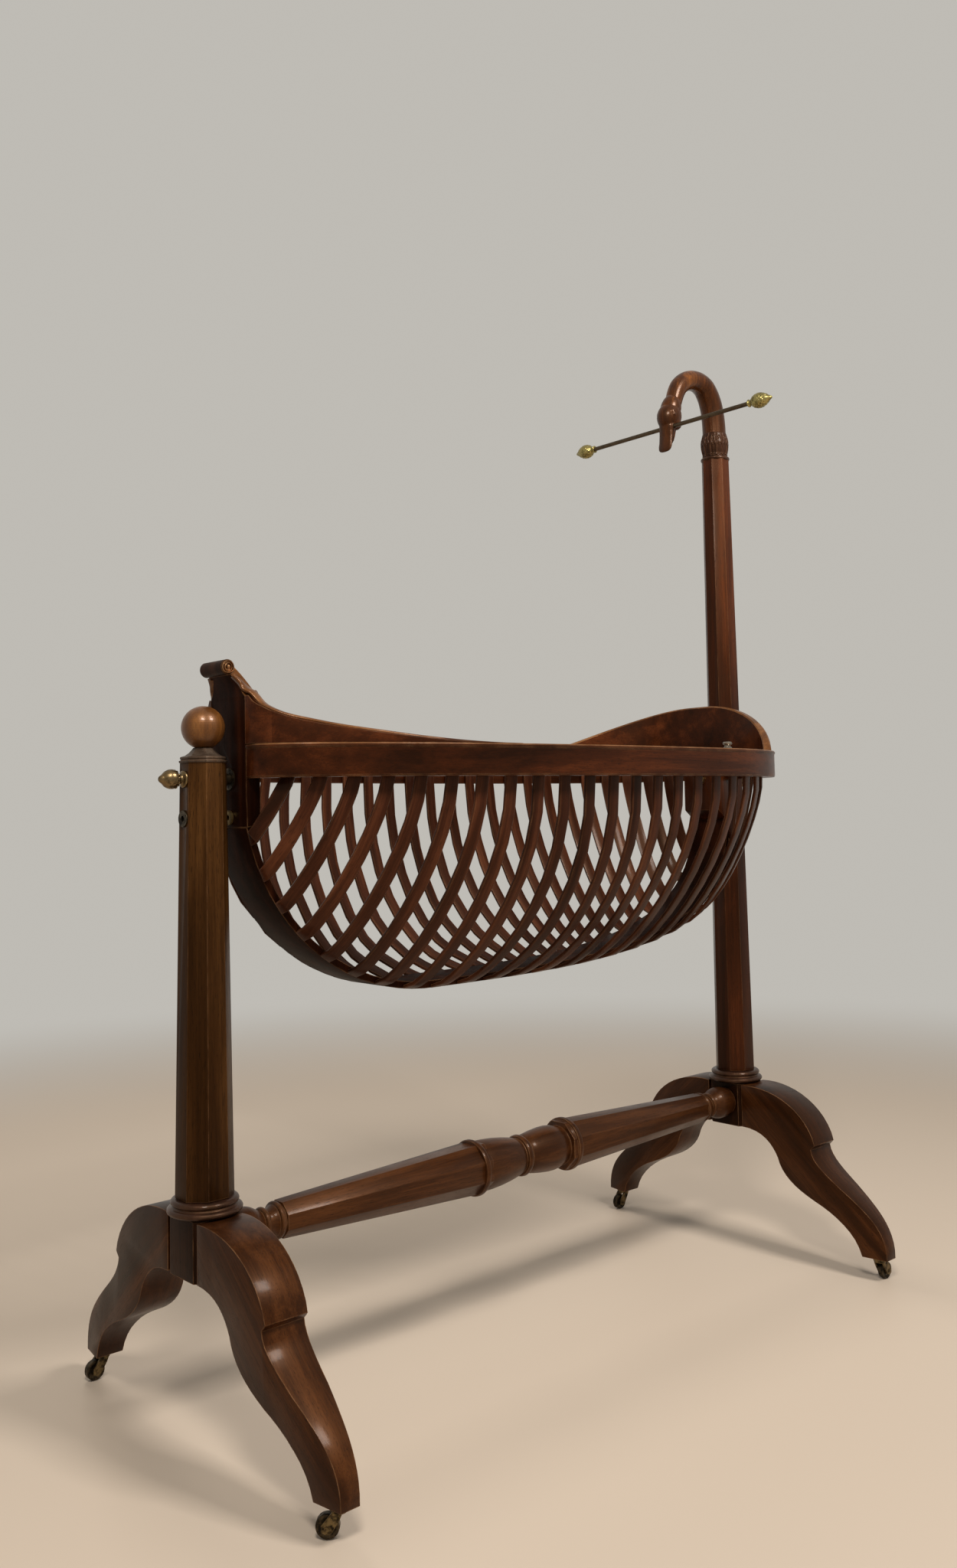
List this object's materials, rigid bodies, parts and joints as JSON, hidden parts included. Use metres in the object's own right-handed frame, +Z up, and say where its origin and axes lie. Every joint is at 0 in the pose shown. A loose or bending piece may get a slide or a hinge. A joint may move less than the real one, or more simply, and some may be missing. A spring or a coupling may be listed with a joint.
{
  "type": "swinging cradle on stand",
  "caption": "Slatted boat-shaped baby cradle swinging between two trestle posts, the taller ending in a swan's neck that carries a sliding curtain rod.",
  "frame": {"origin": "floor level under the middle of the stand's bounding box", "axes": "+X along the cradle from the short post to the tall swan post, +Y across it, +Z up"},
  "size_m": [1.284, 0.636, 1.6748],
  "materials": {
    "left_block": "french polished",
    "right_block": "french polished",
    "left_leg_front": "french polished",
    "left_leg_back": "french polished",
    "right_leg_front": "french polished",
    "right_leg_back": "french polished",
    "left_base_ring": "french polished",
    "right_base_ring": "french polished",
    "left_post": "french polished",
    "right_post": "french polished",
    "left_post_cap": "french polished",
    "ball_finial": "french polished",
    "right_post_collar": "french polished",
    "swan_leaf_collar": "french polished",
    "swan_neck": "french polished",
    "stretcher_left": "french polished",
    "stretcher_right": "french polished",
    "stretcher_knop": "french polished",
    "stretcher_collar_left": "french polished",
    "stretcher_collar_right": "french polished",
    "left_pivot_bolt": "aged",
    "right_pivot_bolt": "aged",
    "left_pivot_finial": "aged",
    "right_pivot_finial": "aged",
    "post_lock_bush": "aged",
    "caster_plates": "aged",
    "cradle_rim_band": "french polished",
    "side_board_front": "french polished",
    "side_board_back": "french polished",
    "stern_top_board": "french polished",
    "stern_end_stile": "french polished",
    "prow_end_board": "french polished",
    "prow_scroll_roll": "french polished",
    "keel": "french polished",
    "slats_front_fore": "french polished",
    "slats_front_aft": "french polished",
    "slats_back_fore": "french polished",
    "slats_back_aft": "french polished",
    "prow_pivot_bush": "aged",
    "stern_pivot_bush": "aged",
    "cradle_lock_bush": "aged",
    "rim_curtain_knob": "aged",
    "curtain_rod_bar": "aged",
    "rod_finial_front": "aged",
    "rod_finial_back": "aged",
    "caster_fork_1": "aged",
    "caster_fork_2": "aged",
    "caster_fork_3": "aged",
    "caster_fork_4": "aged",
    "caster_wheel_1": "dark, worn",
    "caster_wheel_2": "dark, worn",
    "caster_wheel_3": "dark, worn",
    "caster_wheel_4": "dark, worn"
  },
  "bodies": {
    "stand": {"left_block": "left_block", "right_block": "right_block", "left_leg_front": "left_leg_front", "left_leg_back": "left_leg_back", "right_leg_front": "right_leg_front", "right_leg_back": "right_leg_back", "left_base_ring": "left_base_ring", "right_base_ring": "right_base_ring", "left_post": "left_post", "right_post": "right_post", "left_post_cap": "left_post_cap", "ball_finial": "ball_finial", "right_post_collar": "right_post_collar", "swan_leaf_collar": "swan_leaf_collar", "swan_neck": "swan_neck", "stretcher_left": "stretcher_left", "stretcher_right": "stretcher_right", "stretcher_knop": "stretcher_knop", "stretcher_collar_left": "stretcher_collar_left", "stretcher_collar_right": "stretcher_collar_right", "left_pivot_bolt": "left_pivot_bolt", "right_pivot_bolt": "right_pivot_bolt", "left_pivot_finial": "left_pivot_finial", "right_pivot_finial": "right_pivot_finial", "post_lock_bush": "post_lock_bush", "caster_plates": "caster_plates"},
    "cradle": {"cradle_rim_band": "cradle_rim_band", "side_board_front": "side_board_front", "side_board_back": "side_board_back", "stern_top_board": "stern_top_board", "stern_end_stile": "stern_end_stile", "prow_end_board": "prow_end_board", "prow_scroll_roll": "prow_scroll_roll", "keel": "keel", "slats_front_fore": "slats_front_fore", "slats_front_aft": "slats_front_aft", "slats_back_fore": "slats_back_fore", "slats_back_aft": "slats_back_aft", "prow_pivot_bush": "prow_pivot_bush", "stern_pivot_bush": "stern_pivot_bush", "cradle_lock_bush": "cradle_lock_bush", "rim_curtain_knob": "rim_curtain_knob"},
    "rod": {"curtain_rod_bar": "curtain_rod_bar", "rod_finial_front": "rod_finial_front", "rod_finial_back": "rod_finial_back"},
    "castor_1": {"caster_fork_1": "caster_fork_1"},
    "castor_2": {"caster_fork_2": "caster_fork_2"},
    "castor_3": {"caster_fork_3": "caster_fork_3"},
    "castor_4": {"caster_fork_4": "caster_fork_4"},
    "wheel_1": {"caster_wheel_1": "caster_wheel_1"},
    "wheel_2": {"caster_wheel_2": "caster_wheel_2"},
    "wheel_3": {"caster_wheel_3": "caster_wheel_3"},
    "wheel_4": {"caster_wheel_4": "caster_wheel_4"}
  },
  "joints": [
    {"name": "cradle_swing", "type": "hinge", "parent": "stand", "child": "cradle", "pos_m": [0, 0, 0.872], "axis": [1, 0, 0], "range_deg": [-20, 20]},
    {"name": "rod_slide", "type": "slide", "parent": "stand", "child": "rod", "axis": [0, 1, 0], "range_m": [-0.165, 0.165]},
    {"name": "castor_1_swivel", "type": "hinge", "parent": "stand", "child": "castor_1", "pos_m": [-0.575, 0.296, 0.03], "axis": [0, 0, 1], "continuous": true},
    {"name": "castor_2_swivel", "type": "hinge", "parent": "stand", "child": "castor_2", "pos_m": [-0.575, -0.296, 0.03], "axis": [0, 0, 1], "continuous": true},
    {"name": "castor_3_swivel", "type": "hinge", "parent": "stand", "child": "castor_3", "pos_m": [0.575, 0.296, 0.03], "axis": [0, 0, 1], "continuous": true},
    {"name": "castor_4_swivel", "type": "hinge", "parent": "stand", "child": "castor_4", "pos_m": [0.575, -0.296, 0.03], "axis": [0, 0, 1], "continuous": true},
    {"name": "wheel_1_roll", "type": "hinge", "parent": "castor_1", "child": "wheel_1", "pos_m": [-0.588, 0.296, 0.014], "axis": [0, -1, 0], "continuous": true},
    {"name": "wheel_2_roll", "type": "hinge", "parent": "castor_2", "child": "wheel_2", "pos_m": [-0.58419, -0.28681, 0.014], "axis": [-0.7071, -0.7071, 0], "continuous": true},
    {"name": "wheel_3_roll", "type": "hinge", "parent": "castor_3", "child": "wheel_3", "pos_m": [0.562, 0.296, 0.014], "axis": [0, -1, 0], "continuous": true},
    {"name": "wheel_4_roll", "type": "hinge", "parent": "castor_4", "child": "wheel_4", "pos_m": [0.588, -0.296, 0.014], "axis": [0, 1, 0], "continuous": true}
  ]
}
